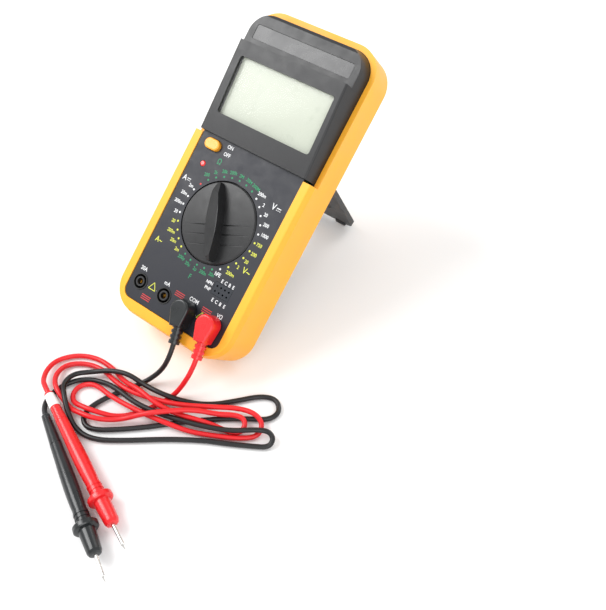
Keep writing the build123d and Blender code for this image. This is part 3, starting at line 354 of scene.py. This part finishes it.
def bar(x0, y0, x1, y1, width):
    """Outline of a straight printed stroke."""
    along = Vector((x1 - x0, y1 - y0)).normalized()
    side = Vector((-along.y, along.x)) * width / 2
    return [(x0 - side.x, y0 - side.y), (x1 - side.x, y1 - side.y),
            (x1 + side.x, y1 + side.y), (x0 + side.x, y0 + side.y)]


def disc(x, y, radius, sides=20):
    return [(x + radius * math.cos(2 * math.pi * i / sides), y + radius * math.sin(2 * math.pi * i / sides))
            for i in range(sides)]


def loop(points, width):
    return [bar(*points[i], *points[(i + 1) % len(points)], width) for i in range(len(points))]


# ---- dial: a dot for each position, clockwise from the top ----
DOT_RING = 27.3
STEP = 11.25
RANGES = {
    0: ("2M", "green"), 1: ("20M", "green"), 2: ("200M", "green"), 28: ("200", "green"),
    29: ("2k", "green"), 30: ("20k", "green"), 31: ("200k", "green"),
    3: ("200m", "white"), 4: ("2", "white"), 5: ("20", "white"), 6: ("200", "white"), 7: ("1000", "white"),
    8: ("750", "yellow"), 9: ("200", "yellow"), 10: ("20", "yellow"), 11: ("2", "yellow"),
    12: ("200m", "yellow"), 13: ("", "white"),
    14: ("20n", "green"), 15: ("200n", "green"), 16: ("2µ", "green"), 17: ("20µ", "green"),
    18: ("200µ", "green"),
    19: ("2m", "yellow"), 20: ("20m", "yellow"), 21: ("200m", "yellow"), 22: ("20", "yellow"),
    23: ("20", "white"), 24: ("200m", "white"), 25: ("20m", "white"), 26: ("2m", "white"),
    27: ("", "red"),
}
for position, (text, ink) in RANGES.items():
    angle = math.radians(90 - STEP * position)
    dot_x = KNOB[0] + DOT_RING * math.cos(angle)
    dot_y = KNOB[1] + DOT_RING * math.sin(angle)
    shape(ink, [disc(0, 0, 0.62)], dot_x, dot_y)
    if not text:
        continue
    half = 0.5 * 1.28 * len(text)
    reach = 1.35 + abs(math.cos(angle)) * half + abs(math.sin(angle)) * 1.5
    turn = 0.0
    if ink == "green":
        turn = 14.0 if position > 20 else 0.0
        turn = -14.0 if position in (1, 2) else turn
        reach = 2.7 + 0.5 * abs(math.cos(angle)) * half
    word(text, ink, dot_x + reach * math.cos(angle), dot_y + reach * math.sin(angle), 2.15, turn)

word("A", "white", -34.2, 87.6, 3.4)
shape("white", [bar(-1.3, 0.6, 1.3, 0.6, 0.45), bar(-1.3, -0.5, -0.7, -0.5, 0.4),
                bar(-0.3, -0.5, 0.3, -0.5, 0.4), bar(0.7, -0.5, 1.3, -0.5, 0.4)], -31.0, 87.4)
word("V", "white", 28.0, 96.4, 3.8)
shape("white", [bar(-1.5, 0.7, 1.5, 0.7, 0.5), bar(-1.5, -0.5, -0.9, -0.5, 0.45),
                bar(-0.3, -0.5, 0.3, -0.5, 0.45), bar(0.9, -0.5, 1.5, -0.5, 0.45)], 31.6, 96.0)
word("V~", "yellow", 31.4, 56.6, 3.8)
word("A~", "yellow", -30.8, 47.3, 3.4)
word("Ω", "green", -17.6, 104.8, 3.4)
word("F", "green", -0.3, 37.8, 3.0)
word("hFE", "white", 15.7, 47.1, 2.4)
word("ON", "white", -15.1, 115.0, 2.3)
word("OFF", "white", -15.1, 110.3, 2.3)
for index, letter in enumerate("ECBE"):
    word(letter, "white", 20.5 + 2.73 * index, 45.0, 2.2)
    word(letter, "white", 20.2 + 2.93 * index, 32.9, 2.2)
word("NPN", "white", 13.4, 40.7, 2.0)
word("PNP", "white", 13.8, 37.3, 2.0)
word("20A", "white", JACK_XS[0] - 1.6, 27.8, 2.5)
word("mA", "white", JACK_XS[1] - 1.5, 27.2, 2.5)
word("COM", "white", JACK_XS[2] + 0.8, 26.9, 2.5)
word("VΩ", "white", JACK_XS[3] + 1.4, 26.6, 2.5)
for sign_x in ((JACK_XS[0] + JACK_XS[1]) / 2, (JACK_XS[2] + JACK_XS[3]) / 2):
    shape("yellow", loop([(-2.6, -1.9), (2.6, -1.9), (0, 2.6)], 0.42), sign_x, 21.1)
for jack_index in (0, 2):
    near = JACK_XS[jack_index] + 6.0
    far = JACK_XS[jack_index + 1] - 6.0
    middle = (near + far) / 2
    shape("white", [bar(near, JACK_Y, middle - 3.4, JACK_Y, 0.32), bar(middle + 3.4, JACK_Y, far, JACK_Y, 0.32)])
# short ruled marks that stand in for the small red notes
for mark_x, mark_y in ((-20.8, 13.0), (-0.6, 25.4), (20.2, 25.4)):
    shape("red", [bar(mark_x - 3.4, mark_y + row, mark_x + 3.4, mark_y + row, 0.5) for row in (-1.2, 0, 1.2)])


def join(objects, name, ink):
    """Turns the printed words and shapes of one ink into one mesh piece."""
    depsgraph = bpy.context.evaluated_depsgraph_get()
    bpy.context.view_layer.update()
    verts = []
    faces = []
    for obj in objects:
        mesh = bpy.data.meshes.new_from_object(obj.evaluated_get(depsgraph))
        first = len(verts)
        verts += [tuple(obj.matrix_world @ v.co) for v in mesh.vertices]
        faces += [[first + i for i in face.vertices] for face in mesh.polygons]
        bpy.data.objects.remove(obj)
    mesh = bpy.data.meshes.new(name)
    mesh.from_pydata(verts, [], faces)
    mesh.materials.append(INKS[ink])
    piece = bpy.data.objects.new(name, mesh)
    bpy.context.scene.collection.objects.link(piece)
    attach(piece, "meter")
    return piece


bpy.context.view_layer.update()
for ink, objects in printing.items():
    join(objects, "printing_" + ink, ink)

# ---- floor and light ----
floor_mesh = bpy.data.meshes.new("floor")
FLOOR = 6.0
floor_mesh.from_pydata([(-FLOOR, -FLOOR, 0), (FLOOR, -FLOOR, 0), (FLOOR, FLOOR, 0), (-FLOOR, FLOOR, 0)],
                       [], [(0, 1, 2, 3)])
floor = bpy.data.objects.new("floor", floor_mesh)
floor.location.z = -0.0002
bpy.context.scene.collection.objects.link(floor)
floor_mesh.materials.append(material("floor", (0.93, 0.93, 0.93), 0.8, grain=60, bump=0.0, mottle=0.005,
                                     specular=0.1))


def lamp(name, place, aim, size, power, color=(1, 1, 1)):
    data = bpy.data.lights.new(name, "AREA")
    data.shape = "DISK"
    data.size = size
    data.energy = power
    data.color = color
    obj = bpy.data.objects.new(name, data)
    bpy.context.scene.collection.objects.link(obj)
    obj.location = place
    direction = Vector(aim) - Vector(place)
    obj.rotation_mode = "QUATERNION"
    obj.rotation_quaternion = direction.to_track_quat("-Z", "Y")


lamp("key", (-0.9, -0.5, 1.2), (0, 0, 0.05), 0.9, 15)
lamp("fill", (1.1, -0.9, 0.9), (0, 0, 0.05), 1.2, 9)
lamp("rim", (0.3, 1.2, 1.1), (0, 0, 0.05), 1.0, 6)
world = bpy.data.worlds.new("world")
world.use_nodes = True
world.node_tree.nodes["Background"].inputs[0].default_value = (1, 1, 1, 1)
world.node_tree.nodes["Background"].inputs[1].default_value = 0.75
bpy.context.scene.world = world
bpy.context.scene.view_settings.view_transform = "Standard"
